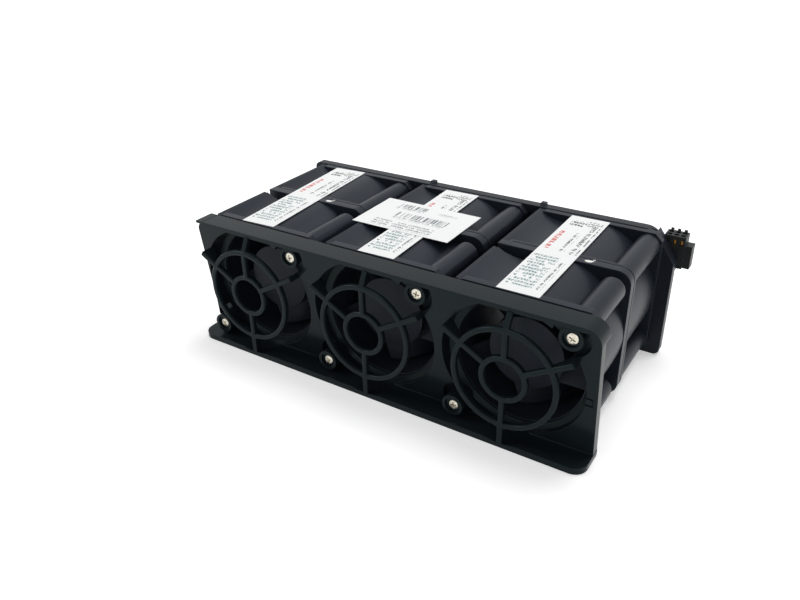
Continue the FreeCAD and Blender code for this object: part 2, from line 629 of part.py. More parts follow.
def stator_nodes():
    """Fixed motor pieces, one node for each kind."""
    kinds = {"stator_cores": [core()], "stator_coils": coils(), "circuit_boards": [board()],
             "motor_bearings": [bearing()]}
    for name, shapes in kinds.items():
        save(name, [placed(shape, axis, is_front) for axis in FAN_AXES for is_front in (True, False)
                    for shape in shapes])


def module_nodes():
    """Bezel, frame, connector, labels and screws."""
    save("front_bezel", bezel())
    save("rear_frame", rear_frame())
    save("connector_housing", connector_housing())
    save("connector_contacts", contacts())
    for number, (axis, (shift, turn)) in enumerate(zip(FAN_AXES, LABEL_PLACES), 1):
        save(f"fan_{number}_label", label(axis + shift, turn))
    save("wide_label", wide_label())
    save("bezel_screws", screws())


os.makedirs("parts", exist_ok=True)
fan_nodes()
stator_nodes()
module_nodes()
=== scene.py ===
"""Dress of a server fan module: finishes, eased edges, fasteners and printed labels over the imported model."""

import logging
import math
from collections.abc import Callable, Iterable
from dataclasses import dataclass
from enum import Enum

import bmesh
import bpy
from mathutils import Matrix, Vector
from mathutils.bvhtree import BVHTree


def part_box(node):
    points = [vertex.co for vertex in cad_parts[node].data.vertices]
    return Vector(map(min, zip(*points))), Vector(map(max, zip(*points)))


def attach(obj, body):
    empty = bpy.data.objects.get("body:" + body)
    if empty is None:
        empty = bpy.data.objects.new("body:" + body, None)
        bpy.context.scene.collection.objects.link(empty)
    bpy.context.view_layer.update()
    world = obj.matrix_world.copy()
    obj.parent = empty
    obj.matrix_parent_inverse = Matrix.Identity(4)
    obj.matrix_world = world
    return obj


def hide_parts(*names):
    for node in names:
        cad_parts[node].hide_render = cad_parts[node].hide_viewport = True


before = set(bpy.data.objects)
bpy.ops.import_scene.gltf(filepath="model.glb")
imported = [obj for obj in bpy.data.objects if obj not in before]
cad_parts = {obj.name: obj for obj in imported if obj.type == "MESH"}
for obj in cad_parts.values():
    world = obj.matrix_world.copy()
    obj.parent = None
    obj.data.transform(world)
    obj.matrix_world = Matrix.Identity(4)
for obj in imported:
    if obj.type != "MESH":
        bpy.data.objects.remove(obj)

LOG = logging.getLogger("fan_module")
MM = 0.001
SHARP = 50.0
SKIN = 0.03
BODY = "module"

Colour = tuple[float, float, float]
Socket = bpy.types.NodeSocket


# --- finishes -------------------------------------------------------------------------------------

class Graph:
    """Node tree of one finish, with short calls that add nodes and join them."""

    def __init__(self, name: str) -> None:
        """Start a material that holds only its output and its surface shader.

        Args:
            name: The material's name.
        """
        self.material = bpy.data.materials.new(name)
        self.material.use_nodes = True
        self.tree = self.material.node_tree
        self.shader = self.tree.nodes["Principled BSDF"]

    def node(self, kind: str, inputs: dict[int | str, object] | None = None, **settings: object) -> bpy.types.Node:
        """Add one node.

        Args:
            kind: The node's type, without its ShaderNode prefix.
            inputs: A number, colour or socket for each input that is set.
            settings: The node's own properties.

        Returns:
            The new node.
        """
        made = self.tree.nodes.new("ShaderNode" + kind)
        for key, value in settings.items():
            setattr(made, key, value)
        for key, value in (inputs or {}).items():
            if isinstance(value, bpy.types.NodeSocket):
                self.tree.links.new(value, made.inputs[key])
            else:
                made.inputs[key].default_value = value
        return made

    def math(self, operation: str, first: object, second: object = 0.0) -> Socket:
        """Result of one sum on two numbers or sockets."""
        return self.node("Math", {0: first, 1: second}, operation=operation).outputs[0]

    def place(self, origin: tuple[float, float, float] = (0.0, 0.0, 0.0), turn: float = 0.0,
              scale: tuple[float, float, float] = (1.0, 1.0, 1.0)) -> Socket:
        """Position on the object in millimetres, seen from a datum of its own.

        Args:
            origin: The datum's place, in millimetres.
            turn: The datum's turn about Z, in degrees.
            scale: Stretch of the pattern along each axis, after the turn.

        Returns:
            The socket that gives the position.
        """
        coordinates = self.node("TexCoord").outputs["Object"]
        turned = self.node("Mapping", {"Vector": coordinates, "Location": Vector(origin) * MM,
                                       "Rotation": (0.0, 0.0, math.radians(turn))}, vector_type="TEXTURE")
        sized = [value / MM for value in scale]
        return self.node("Mapping", {"Vector": turned.outputs[0], "Scale": sized}).outputs[0]

    def noise(self, place: Socket, grain: float, detail: float = 2.0) -> Socket:
        """Soft noise whose marks are about a grain, in millimetres, across."""
        return self.node("TexNoise", {"Vector": place, "Scale": 1.0 / grain, "Detail": detail}).outputs[0]

    def spread(self, value: Socket, low: float, high: float, start: float = 0.3, end: float = 0.7) -> Socket:
        """Value stretched from one range onto another and held there."""
        return self.node("MapRange", {0: value, 1: start, 2: end, 3: low, 4: high}).outputs[0]

    def blend(self, amount: object, first: object, second: object) -> Socket:
        """Colour between two colours."""
        first, second = [(*c, 1.0) if isinstance(c, tuple) else c for c in (first, second)]
        return self.node("Mix", {0: amount, 6: first, 7: second}, data_type="RGBA").outputs[2]

    def relief(self, height: Socket, depth: float, under: Socket | None = None) -> Socket:
        """Normal of a surface that a height moves by a depth in millimetres."""
        inputs: dict[int | str, object] = {"Height": height, "Distance": depth * MM, "Strength": 1.0}
        if under is not None:
            inputs["Normal"] = under
        return self.node("Bump", inputs).outputs[0]

    def set(self, **values: object) -> None:
        """Give the surface shader its numbers, colours and sockets, spaces written as underscores."""
        for key, value in values.items():
            name = key.replace("_", " ")
            if isinstance(value, bpy.types.NodeSocket):
                self.tree.links.new(value, self.shader.inputs[name])
            else:
                self.shader.inputs[name].default_value = value


@dataclass(frozen=True)
class Plastic:
    """Moulded plastic with a fine spark-eroded grain, flow marks and a little dust."""

    name: str
    colour: Colour
    pale: Colour
    roughness: float
    specular: float = 0.2
    grain: float = 0.16
    depth: float = 0.004
    dust: float = 0.25
    tint: Colour = (0.8, 0.93, 1.0)

    def material(self) -> bpy.types.Material:
        """Build the finish."""
        graph = Graph(self.name)
        place = graph.place()
        flow = graph.noise(graph.place(scale=(0.6, 1.0, 1.3)), 16.0, 2.0)
        grain = graph.noise(place, self.grain, 3.0)
        specks = graph.spread(graph.noise(place, 0.3, 2.0), 0.0, self.dust, 0.68, 0.8)
        tone = graph.blend(graph.spread(flow, 0.0, 1.0), self.colour, self.pale)
        rough = graph.math("ADD", graph.spread(flow, self.roughness - 0.01, self.roughness + 0.02),
                           graph.math("MULTIPLY", grain, 0.06))
        graph.set(Base_Color=graph.blend(specks, tone, (0.05, 0.05, 0.048)), Roughness=rough,
                  Specular_IOR_Level=self.specular, Specular_Tint=(*self.tint, 1.0),
                  Normal=graph.relief(grain, self.depth))
        return graph.material


@dataclass(frozen=True)
class Metal:
    """Worked metal with fine marks along one axis and some tarnish."""

    name: str
    colour: Colour
    tarnish: Colour
    roughness: float
    marks: tuple[float, float, float] = (1.0, 0.08, 1.0)

    def material(self) -> bpy.types.Material:
        """Build the finish."""
        graph = Graph(self.name)
        marks = graph.noise(graph.place(scale=self.marks), 0.12, 3.0)
        patches = graph.noise(graph.place(), 1.3, 4.0)
        graph.set(Base_Color=graph.blend(graph.spread(patches, 0.0, 1.0), self.colour, self.tarnish), Metallic=1.0,
                  Roughness=graph.spread(marks, self.roughness - 0.05, self.roughness + 0.1),
                  Normal=graph.relief(marks, 0.006))
        return graph.material


@dataclass(frozen=True)
class Laminations:
    """Stack of steel sheets across the Y axis, varnished."""

    name: str
    colour: Colour = (0.22, 0.21, 0.2)
    gap_colour: Colour = (0.05, 0.045, 0.04)
    sheet: float = 0.5

    def material(self) -> bpy.types.Material:
        """Build the finish."""
        graph = Graph(self.name)
        along = graph.node("SeparateXYZ", {0: graph.place()}).outputs["Y"]
        wave = graph.math("PINGPONG", along, self.sheet / 2)
        sheet = graph.spread(wave, 0.0, 1.0, 0.0, 0.08)
        rough = graph.spread(graph.noise(graph.place(), 0.6), 0.3, 0.5)
        graph.set(Base_Color=graph.blend(sheet, self.gap_colour, self.colour), Metallic=1.0, Roughness=rough,
                  Normal=graph.relief(sheet, 0.03))
        return graph.material


@dataclass(frozen=True)
class Winding:
    """Enamelled copper wire wound in layers, with painted shade that darkens each wire towards its sides and between
    the turns.
    """

    name: str
    colour: Colour = (0.62, 0.2, 0.07)
    # painted shade: colour of each wire's sides and of the grooves between the turns
    between: Colour = (0.12, 0.03, 0.01)
    wire: float = 0.22

    def material(self) -> bpy.types.Material:
        """Build the finish."""
        graph = Graph(self.name)
        parts = graph.node("SeparateXYZ", {0: graph.place()})
        across = graph.math("ADD", parts.outputs["X"], parts.outputs["Z"])
        strand_shade_and_relief = graph.spread(graph.math("PINGPONG", across, self.wire / 2), 0.0, 1.0, 0.0, self.wire / 2)
        # colour runs from painted shade at each wire's sides to its lit crown; the same profile raises the wire's round
        # relief
        graph.set(Base_Color=graph.blend(strand_shade_and_relief, self.between, self.colour), Metallic=0.85, Roughness=0.3,
                  Coat_Weight=0.6, Coat_Roughness=0.15, Normal=graph.relief(strand_shade_and_relief, self.wire / 2))
        return graph.material


@dataclass(frozen=True)
class Board:
    """Green solder mask over copper tracks."""

    name: str
    mask: Colour = (0.01, 0.1, 0.035)
    track: Colour = (0.03, 0.2, 0.08)

    def material(self) -> bpy.types.Material:
        """Build the finish."""
        graph = Graph(self.name)
        cells = graph.node("TexVoronoi", {"Vector": graph.place(), "Scale": 0.55}, feature="DISTANCE_TO_EDGE",
                           distance="EUCLIDEAN")
        tracks = graph.spread(cells.outputs[0], 1.0, 0.0, 0.05, 0.12)
        graph.set(Base_Color=graph.blend(tracks, self.mask, self.track), Roughness=0.35, Coat_Weight=0.3,
                  Normal=graph.relief(tracks, 0.03))
        return graph.material


class Print(Enum):
    """Kinds of generic print on a label."""

    LINES = "rows of small marks"
    BARS = "upright bars of uneven width"
    RULE = "plain band"


@dataclass(frozen=True)
class Block:
    """One printed block: its middle, size and turn on the label in millimetres and degrees."""

    kind: Print
    middle: tuple[float, float]
    size: tuple[float, float]
    pitch: float = 1.0
    ink: float = 1.0
    turn: float = 0.0
    colour: Colour = (0.02, 0.035, 0.035)


@dataclass(frozen=True)
class Paper:
    """White film label with generic print, placed and turned as the label is."""

    name: str
    middle: tuple[float, float]
    turn: float
    blocks: tuple[Block, ...]
    colour: Colour = (0.86, 0.87, 0.87)

    def mask(self, graph: Graph, block: Block) -> Socket:
        """Where one block has ink.

        Args:
            graph: The label's node tree.
            block: The block.

        Returns:
            A socket that is near 1 on the ink and 0 elsewhere.
        """
        local = graph.node("Mapping", {"Vector": graph.place((*self.middle, 0.0), self.turn),
                                       "Location": (*block.middle, 0.0),
                                       "Rotation": (0.0, 0.0, math.radians(block.turn))}, vector_type="TEXTURE")
        parts = graph.node("SeparateXYZ", {0: local.outputs[0]})
        along, down = parts.outputs["X"], parts.outputs["Y"]
        half_x, half_y = block.size[0] / 2, block.size[1] / 2
        inside = graph.math("MULTIPLY", graph.math("LESS_THAN", graph.math("ABSOLUTE", along), half_x),
                            graph.math("LESS_THAN", graph.math("ABSOLUTE", down), half_y))
        marks = {Print.LINES: self.lines, Print.BARS: self.bars, Print.RULE: lambda *_: None}[block.kind](
            graph, block, along, down)
        shown = inside if marks is None else graph.math("MULTIPLY", inside, marks)
        return graph.math("MULTIPLY", shown, block.ink)

    @staticmethod
    def chance(graph: Graph, across: Socket, along: Socket, share: float) -> Socket:
        """1 in a share of the whole-number cells of two coordinates, the same ones each time."""
        cell = graph.node("CombineXYZ", {0: across, 1: along, 2: share})
        value = graph.node("TexWhiteNoise", {0: cell.outputs[0]}).outputs[0]
        return graph.math("LESS_THAN", value, share)

    def lines(self, graph: Graph, block: Block, along: Socket, down: Socket) -> Socket:
        """Rows of small marks that read as fine print from afar.

        Args:
            graph: The label's node tree.
            block: The block, whose pitch is from row to row.
            along: Distance along the rows.
            down: Distance across the rows.

        Returns:
            The marks' mask.
        """
        def cell(value: Socket, size: float) -> Socket:
            """Number of the cell of a size that a value lies in."""
            return graph.math("FLOOR", graph.math("DIVIDE", value, size))

        glyph, tall = block.pitch * 0.5, block.pitch * 0.64
        row = cell(down, block.pitch)
        level = graph.math("SUBTRACT", down, graph.math("MULTIPLY", row, block.pitch))
        in_row = graph.math("LESS_THAN", level, tall)
        letter = cell(along, glyph)
        side = graph.math("SUBTRACT", along, graph.math("MULTIPLY", letter, glyph))
        in_letter = graph.math("LESS_THAN", side, glyph * 0.8)
        stroke = self.chance(graph, cell(along, glyph / 3), cell(down, tall / 3), 0.7)
        word = self.chance(graph, letter, row, 0.84)
        marks = graph.math("MULTIPLY", graph.math("MULTIPLY", in_row, in_letter), graph.math("MULTIPLY", stroke, word))
        return marks

    def bars(self, graph: Graph, block: Block, along: Socket, down: Socket) -> Socket:
        """Upright bars of uneven width.

        Args:
            graph: The label's node tree.
            block: The block, whose pitch is the narrowest bar's.
            along: Distance along the row of bars.
            down: Distance up the bars.

        Returns:
            The bars' mask.
        """
        bar = graph.math("FLOOR", graph.math("DIVIDE", along, block.pitch))
        row = graph.math("MULTIPLY", down, 0.0)
        return self.chance(graph, bar, row, 0.5)

    def material(self) -> bpy.types.Material:
        """Build the finish."""
        graph = Graph(self.name)
        fibres = graph.noise(graph.place(), 0.5, 4.0)
        stain = graph.spread(graph.noise(graph.place(), 7.0, 3.0), 0.0, 0.25)
        tone = graph.blend(stain, self.colour, (0.79, 0.8, 0.78))
        for block in self.blocks:
            tone = graph.blend(self.mask(graph, block), tone, block.colour)
        graph.set(Base_Color=tone, Roughness=graph.spread(fibres, 0.38, 0.5), Normal=graph.relief(fibres, 0.004))
        return graph.material


# --- shaping --------------------------------------------------------------------------------------

class Workpiece:
    """A mesh under way, in millimetres, that ends as one finished object at the origin."""

    def __init__(self, name: str) -> None:
        """Start an empty piece.

        Args:
            name: The finished object's name.
        """
        self.name = name
        self.mesh = bmesh.new()

    def copy_node(self, node: str) -> None:
        """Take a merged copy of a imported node's triangles and join those that lie flat together.

        Args:
            node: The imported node's name.
        """
        mesh = self.mesh
        mesh.from_mesh(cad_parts[node].data)
        bmesh.ops.scale(mesh, vec=Vector((1.0, 1.0, 1.0)) / MM, verts=mesh.verts)
        bmesh.ops.remove_doubles(mesh, verts=mesh.verts, dist=0.002)
        bmesh.ops.dissolve_limit(mesh, angle_limit=math.radians(0.6), use_dissolve_boundaries=False,
                                 verts=mesh.verts, edges=mesh.edges)

    def add(self, part: bmesh.types.BMesh) -> None:
        """Take over another mesh that was made on its own."""
        holder = bpy.data.meshes.new("part")
        part.to_mesh(holder)
        part.free()
        self.mesh.from_mesh(holder)
        bpy.data.meshes.remove(holder)

    def ease(self, width: float, segments: int = 2, angle: float = 25.0,
             chosen: Callable[[bmesh.types.BMEdge], bool] = lambda edge: True) -> None:
        """Round the sharp edges.

        Args:
            width: How far each side of an edge is cut back.
            segments: Faces across the round.
            angle: Edges that turn by less, in degrees, are left.
            chosen: Says which of the sharp edges are rounded.
        """
        sharp = [edge for edge in self.mesh.edges
                 if edge.is_manifold and edge.calc_face_angle(0.0) > math.radians(angle) and chosen(edge)]
        surface = BVHTree.FromBMesh(self.mesh)
        places = [vert.co for vert in self.mesh.verts]
        low, high = [Vector(edge(place[i] for place in places) for i in range(3)) for edge in (min, max)]
        bmesh.ops.bevel(self.mesh, geom=sharp, offset=width, offset_type="OFFSET", segments=segments, profile=0.5,
                        affect="EDGES", clamp_overlap=False, material=-1)
        for vert in self.mesh.verts:
            nearest, _, _, distance = surface.find_nearest(vert.co)
            if distance > width / 2:
                vert.co = nearest
            vert.co = [min(max(value, low[i]), high[i]) for i, value in enumerate(vert.co)]

    def finish(self, material: bpy.types.Material, slot: str, *nodes: str, body: str = BODY,
               closed: bool = False) -> bpy.types.Object:
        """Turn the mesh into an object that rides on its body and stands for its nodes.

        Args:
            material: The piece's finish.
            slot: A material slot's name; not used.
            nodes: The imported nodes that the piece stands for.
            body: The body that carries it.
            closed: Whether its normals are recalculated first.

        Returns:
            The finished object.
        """
        if closed:
            bmesh.ops.remove_doubles(self.mesh, verts=self.mesh.verts, dist=0.001)
            bmesh.ops.recalc_face_normals(self.mesh, faces=self.mesh.faces)
        bmesh.ops.scale(self.mesh, vec=Vector((MM, MM, MM)), verts=self.mesh.verts)
        for face in self.mesh.faces:
            face.smooth = True
        for edge in self.mesh.edges:
            edge.smooth = edge.calc_face_angle(0.0) < math.radians(SHARP)
        data = bpy.data.meshes.new(self.name)
        self.mesh.to_mesh(data)
        self.mesh.free()
        made = bpy.data.objects.new(self.name, data)
        bpy.context.scene.collection.objects.link(made)
        data.materials.append(material)
        made.modifiers.new("even shading", "WEIGHTED_NORMAL").keep_sharp = True
        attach(made, body)
        if nodes:
            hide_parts(*nodes)
        LOG.info("%s: %d faces on %s", self.name, len(data.polygons), body)
        return made


def middle_of(node: str) -> Vector:
    """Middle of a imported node's box in millimetres."""
    low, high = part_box(node)
    return (low + high) / (2 * MM)


def fan_axes() -> list[Vector]:
    """Middle of each fan's front impeller in millimetres."""
    return [middle_of(f"fan_{number}_front_impeller") for number in (1, 2, 3)]


# --- sub-assemblies -------------------------------------------------------------------------------

@dataclass
class FrontBezel:
    """Glossy front plate with its guards, and the lips that close the fans' mouths."""

    material: bpy.types.Material
    edge: float = 0.14
    bar_edge: float = 0.45
    bar_depth: float = 1.75
    foot: float = 2.0
    crease: float = 0.45
    crease_depth: float = 7.6
    lip: tuple[float, float] = (18.9, 20.9)
    lip_depth: float = 1.2
    lip_top: float = 18.9
    bolt: float = 16.0
    pocket: float = 5.9
    collar: tuple[float, float] = (1.4, 2.4)
    collar_drop: float = 0.35
    rim: float = 40.5
    tip: tuple[float, float, float] = (3.4, 6.9, 0.8)
    tip_inset: float = 2.3
    end: tuple[float, float] = (2.7, 4.9)
    end_tilt: float = 0.05

    def build(self) -> None:
        """Make the plate, its lips, the collars round its screws and the rim's square end."""
        piece = Workpiece("bezel_plate")
        piece.copy_node("front_bezel")
        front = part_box("front_bezel")[0].y / MM

        def on_bar(edge: bmesh.types.BMEdge) -> bool:
            """Whether an edge lies on a guard."""
            return all(vert.co.y < front + self.bar_depth and vert.co.z > self.foot - 0.1 for vert in edge.verts) \
                and max(vert.co.z for vert in edge.verts) > self.foot + 0.5

        def in_crease(edge: bmesh.types.BMEdge) -> bool:
            """Whether an edge lies where the plate stands on the foot."""
            return all(abs(vert.co.y - front - self.crease_depth) < 0.1 and abs(vert.co.z - self.foot) < 0.1
                       for vert in edge.verts)

        self.tilt_end(piece)
        bolts = [(axis.x + side * self.bolt, axis.z + side * self.bolt) for axis in fan_axes() for side in (-1, 1)]

        def by_pocket(edge: bmesh.types.BMEdge) -> bool:
            """Whether an edge lies in or at a screw's pocket."""
            return any(all(math.hypot(vert.co.x - x, vert.co.z - z) < self.pocket and vert.co.z < self.rim
                           for vert in edge.verts) for x, z in bolts)

        piece.ease(self.bar_edge, segments=3, chosen=lambda edge: edge.is_convex and on_bar(edge)
                   and not by_pocket(edge))
        piece.ease(self.crease, segments=3, chosen=in_crease)
        piece.ease(self.edge, chosen=lambda edge: edge.is_convex and edge.calc_length() > self.edge
                   and not on_bar(edge) and not in_crease(edge) and not by_pocket(edge))
        piece.finish(self.material, "bezel_plastic", "front_bezel")
        self.build_lips()
        self.build_collars(bolts)
        self.build_tip()

    def tilt_end(self, piece: Workpiece) -> None:
        """Draw the plate's left end in at the top and out at the foot.

        Args:
            piece: The plate under way.
        """
        low, high = [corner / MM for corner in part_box("front_bezel")]
        near, far = [low.x + reach for reach in self.end]
        for vert in piece.mesh.verts:
            if vert.co.z > self.foot + 0.1:
                share = min(max((far - vert.co.x) / (far - near), 0.0), 1.0)
                vert.co.x += share * self.end_tilt * (vert.co.z - (low.z + high.z) / 2)

    def build_collars(self, bolts: list[tuple[float, float]]) -> None:
        """Fill the gap round each screw head.

        Args:
            bolts: X and Z of each screw.
        """
        piece = Workpiece("screw_collars")
        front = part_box("bezel_screws")[0].y / MM + self.collar_drop
        inner, outer = self.collar
        for x, z in bolts:
            mesh = bmesh.new()
            corners = [mesh.verts.new(place) for place in
                       ((inner, front, 0.0), (outer, front, 0.0), (outer, front + 1.0, 0.0), (inner, front + 1.0, 0.0))]
            ring = [mesh.edges.new((corners[i], corners[i - 1])) for i in range(len(corners))]
            bmesh.ops.spin(mesh, geom=corners + ring, cent=(0, 0, 0), axis=(0, 1, 0), angle=math.tau, steps=32,
                           use_merge=True)
            bmesh.ops.translate(mesh, vec=Vector((x, 0, z)), verts=mesh.verts)
            piece.add(mesh)
        piece.finish(self.material, "bezel_plastic", closed=True)

    def build_tip(self) -> None:
        """Square off the left end of the rim along the plate's top."""
        piece = Workpiece("rim_tip")
        low, high = [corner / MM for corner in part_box("front_bezel")]
        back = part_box("front_fan_housings")[0].y / MM - 1.0
        size = Vector(self.tip)
        corner = Vector((low.x + self.tip_inset, back - size.y, high.z - size.z))
        bmesh.ops.create_cube(piece.mesh, size=1.0, matrix=Matrix.Translation(corner + size / 2)
                              @ Matrix.Diagonal((*size, 1.0)))
        piece.ease(self.edge)
        piece.finish(self.material, "bezel_plastic", closed=True)

    def build_lips(self) -> None:
        """Close the seam round each fan's mouth."""
        piece = Workpiece("mouth_lips")
        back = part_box("front_bezel")[1].y / MM
        for axis in fan_axes():
            mesh = bmesh.new()
            inner, outer = self.lip
            corners = [mesh.verts.new((r, y, 0.0)) for r, y in
                       ((inner, back - self.lip_depth / 2), (outer, back - self.lip_depth), (outer, back), (inner, back))]
            ring = [mesh.edges.new((corners[i], corners[i - 1])) for i in range(len(corners))]
            bmesh.ops.spin(mesh, geom=corners + ring, cent=(0, 0, 0), axis=(0, 1, 0), angle=math.tau, steps=72,
                           use_merge=True)
            cut = bmesh.ops.bisect_plane(mesh, geom=mesh.verts[:] + mesh.edges[:] + mesh.faces[:],
                                         plane_co=(0, 0, self.lip_top), plane_no=(0, 0, 1), clear_outer=True)
            bmesh.ops.holes_fill(mesh, edges=[item for item in cut["geom_cut"] if isinstance(item, bmesh.types.BMEdge)])
            bmesh.ops.translate(mesh, vec=Vector((axis.x, 0, axis.z)), verts=mesh.verts)
            piece.add(mesh)
        piece.finish(self.material, "bezel_plastic", closed=True)


@dataclass
class RearFrame:
    """Frame at the air outlet."""

    material: bpy.types.Material
    edge: float = 0.12

    def build(self) -> None:
        """Ease the frame's edges."""
        piece = Workpiece("outlet_frame")
        piece.copy_node("rear_frame")
        piece.ease(self.edge)
        piece.finish(self.material, "frame_plastic", "rear_frame")


@dataclass
class FanHousings:
    """The three fans' duct halves on one side of the joint."""

    side: str
    material: bpy.types.Material
    edge: float = 0.14
    post_end: float = 22.8
    post_round: float = 1.5
    seam: float = 0.3
    wall: tuple[tuple[float, float], ...] = ((-20.0, 9.0), (-20.0, 20.0), (-18.85, 20.0), (-18.6, 19.55),
                                             (-16.2, 18.75), (-13.6, 18.1), (-11.0, 17.75), (-8.3, 18.05),
                                             (-12.4, 14.3), (-16.3, 10.2))
    wall_round: float = 0.2
    corner: tuple[tuple[float, float], ...] = ((-20.0, 16.0), (-20.0, 20.0), (-16.0, 20.0))
    flange: float = 3.0
    bolt: float = 16.0
    post: float = 3.75

    def build(self) -> None:
        """Ease the housings' edges, round the front posts' ends and add the walls over the left posts."""
        node = f"{self.side}_fan_housings"
        piece = Workpiece(f"{self.side}_ducts")
        piece.copy_node(node)
        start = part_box(node)[0].y / MM
        self.lower_posts(piece)

        def on_post_end(edge: bmesh.types.BMEdge) -> bool:
            """Whether an edge lies round the end of a front post."""
            return self.side == "front" and all(abs(vert.co.y - start - self.post_end) < 0.05 for vert in edge.verts)

        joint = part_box("rear_fan_housings")[0].y / MM

        def on_seam(edge: bmesh.types.BMEdge) -> bool:
            """Whether an edge lies on the joint of the two halves."""
            return all(abs(vert.co.y - joint) < 0.05 for vert in edge.verts)

        piece.ease(self.edge, chosen=lambda edge: edge.is_convex and edge.calc_length() > self.edge
                   and not on_post_end(edge) and not on_seam(edge))
        piece.ease(self.post_round, segments=4, chosen=on_post_end)
        piece.ease(self.seam, segments=2, chosen=lambda edge: edge.calc_length() > self.seam and on_seam(edge))
        piece.finish(self.material, "fan_plastic", node)
        self.build_walls(start, start + self.post_end if self.side == "front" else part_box(node)[1].y / MM)

    def lower_posts(self, piece: Workpiece) -> None:
        """Press the upper left posts' tops down under the walls that cover them.

        Args:
            piece: The housings under way.
        """
        (x0, z0), (x1, z1) = self.wall[4], self.wall[5]
        for axis in fan_axes():
            for vert in piece.mesh.verts:
                across, up = vert.co.x - axis.x, vert.co.z - axis.z
                if math.hypot(across + self.bolt, up - self.bolt) < self.post:
                    vert.co.z = axis.z + min(up, z0 + (across - x0) * (z1 - z0) / (x1 - x0) - self.edge)

    def build_walls(self, start: float, end: float) -> None:
        """Lay a thin-topped wall over each fan's upper left post.

        Args:
            start: Y of the walls' near end.
            end: Y of their far end.
        """
        piece = Workpiece(f"{self.side}_walls")
        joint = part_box("front_fan_housings")[1].y / MM
        bars = [(self.wall, start, end)]
        if self.side == "front":
            bars.append((self.corner, joint - self.flange, joint))
        for axis in fan_axes():
            for outline, near, far in bars:
                mesh = bmesh.new()
                ring = [mesh.verts.new((axis.x + x, near + SKIN, axis.z + z)) for x, z in outline]
                face = bmesh.ops.contextual_create(mesh, geom=ring)["faces"]
                body = bmesh.ops.extrude_face_region(mesh, geom=face, use_keep_orig=True)["geom"]
                moved = [item for item in body if isinstance(item, bmesh.types.BMVert)]
                bmesh.ops.translate(mesh, vec=Vector((0, far - near - 2 * SKIN, 0)), verts=moved)
                bmesh.ops.recalc_face_normals(mesh, faces=mesh.faces)
                piece.add(mesh)
        piece.ease(self.wall_round, angle=20.0)
        piece.finish(self.material, "fan_plastic", closed=True)


@dataclass
class Rotor:
    """One impeller on its own body."""

    number: int
    side: str
    material: bpy.types.Material
    edge: float = 0.18

    def build(self) -> None:
        """Ease the hub's and the blades' edges."""
        node = f"fan_{self.number}_{self.side}_impeller"
        piece = Workpiece(f"fan_{self.number}_{self.side}_blades")
        piece.copy_node(node)
        piece.ease(self.edge)
        piece.finish(self.material, "rotor_plastic", node, body=f"fan_{self.number}_{self.side}_rotor")


@dataclass
class Connector:
    """Housing of the connector at the cut corner."""

    material: bpy.types.Material
    edge: float = 0.07

    def build(self) -> None:
        """Ease the housing's edges."""
        piece = Workpiece("connector_shell")
        piece.copy_node("connector_housing")
        piece.ease(self.edge)
        piece.finish(self.material, "connector_plastic", "connector_housing")


@dataclass
class ScrewHead:
    """Pan head with a cross recess, its seat on the far side of its front."""

    radius: float = 2.0
    height: float = 1.3
    crown: float = 0.35
    cross: float = 0.95
    slot_width: float = 0.36
    recess: float = 0.75

    def add(self, mesh: bmesh.types.BMesh, at: Vector, out: float, turn: float) -> None:
        """Add one head.

        Args:
            mesh: The mesh that takes it.
            at: The middle of the head's outer end.
            out: -1 where the head faces the air inlet, 1 where it faces the outlet.
            turn: The cross's turn in degrees.
        """
        before = set(mesh.verts)
        arm, half = self.cross, self.slot_width / 2
        quarter = [Vector((arm, -half, 0)), Vector((arm, half, 0)), Vector((half, half, 0))]
        cross = [mesh.verts.new(Matrix.Rotation(math.radians(90 * i), 3, "Z") @ point)
                 for i in range(4) for point in quarter]
        loop = [mesh.edges.new((cross[i], cross[(i + 1) % len(cross)])) for i in range(len(cross))]
        disc = bmesh.ops.create_circle(mesh, cap_ends=False, radius=self.radius - self.crown, segments=24)["verts"]
        rim = list({edge for vert in disc for edge in vert.link_edges})
        bmesh.ops.bridge_loops(mesh, edges=loop + rim)
        shoulder = bmesh.ops.extrude_edge_only(mesh, edges=rim)["geom"]
        corner = [item for item in shoulder if isinstance(item, bmesh.types.BMVert)]
        grown = self.radius / (self.radius - self.crown)
        bmesh.ops.scale(mesh, vec=Vector((grown, grown, 1.0)), verts=corner)
        bmesh.ops.translate(mesh, vec=Vector((0, 0, -self.crown)), verts=corner)
        outer = [item for item in shoulder if isinstance(item, bmesh.types.BMEdge)
                 and all(vert in corner for vert in item.verts)]
        skirt = bmesh.ops.extrude_edge_only(mesh, edges=outer)["geom"]
        foot = [item for item in skirt if isinstance(item, bmesh.types.BMVert)]
        bmesh.ops.translate(mesh, vec=Vector((0, 0, self.crown - self.height)), verts=foot)
        ends = [item for item in skirt if isinstance(item, bmesh.types.BMEdge)
                and all(vert in foot for vert in item.verts)]
        bmesh.ops.contextual_create(mesh, geom=ends)
        walls = bmesh.ops.extrude_edge_only(mesh, edges=loop)["geom"]
        sunk = [item for item in walls if isinstance(item, bmesh.types.BMVert)]
        bmesh.ops.translate(mesh, vec=Vector((0, 0, -self.recess)), verts=sunk)
        bmesh.ops.scale(mesh, vec=Vector((0.6, 0.6, 1.0)), verts=sunk)
        floor = [item for item in walls if isinstance(item, bmesh.types.BMEdge)
                 and all(vert in sunk for vert in item.verts)]
        bmesh.ops.contextual_create(mesh, geom=floor)
        added = [vert for vert in mesh.verts if vert not in before]
        face_out = Matrix.Rotation(math.radians(90 * -out), 4, "X")
        bmesh.ops.transform(mesh, matrix=Matrix.Translation(at) @ face_out @ Matrix.Rotation(math.radians(turn), 4, "Z"),
                            verts=added)


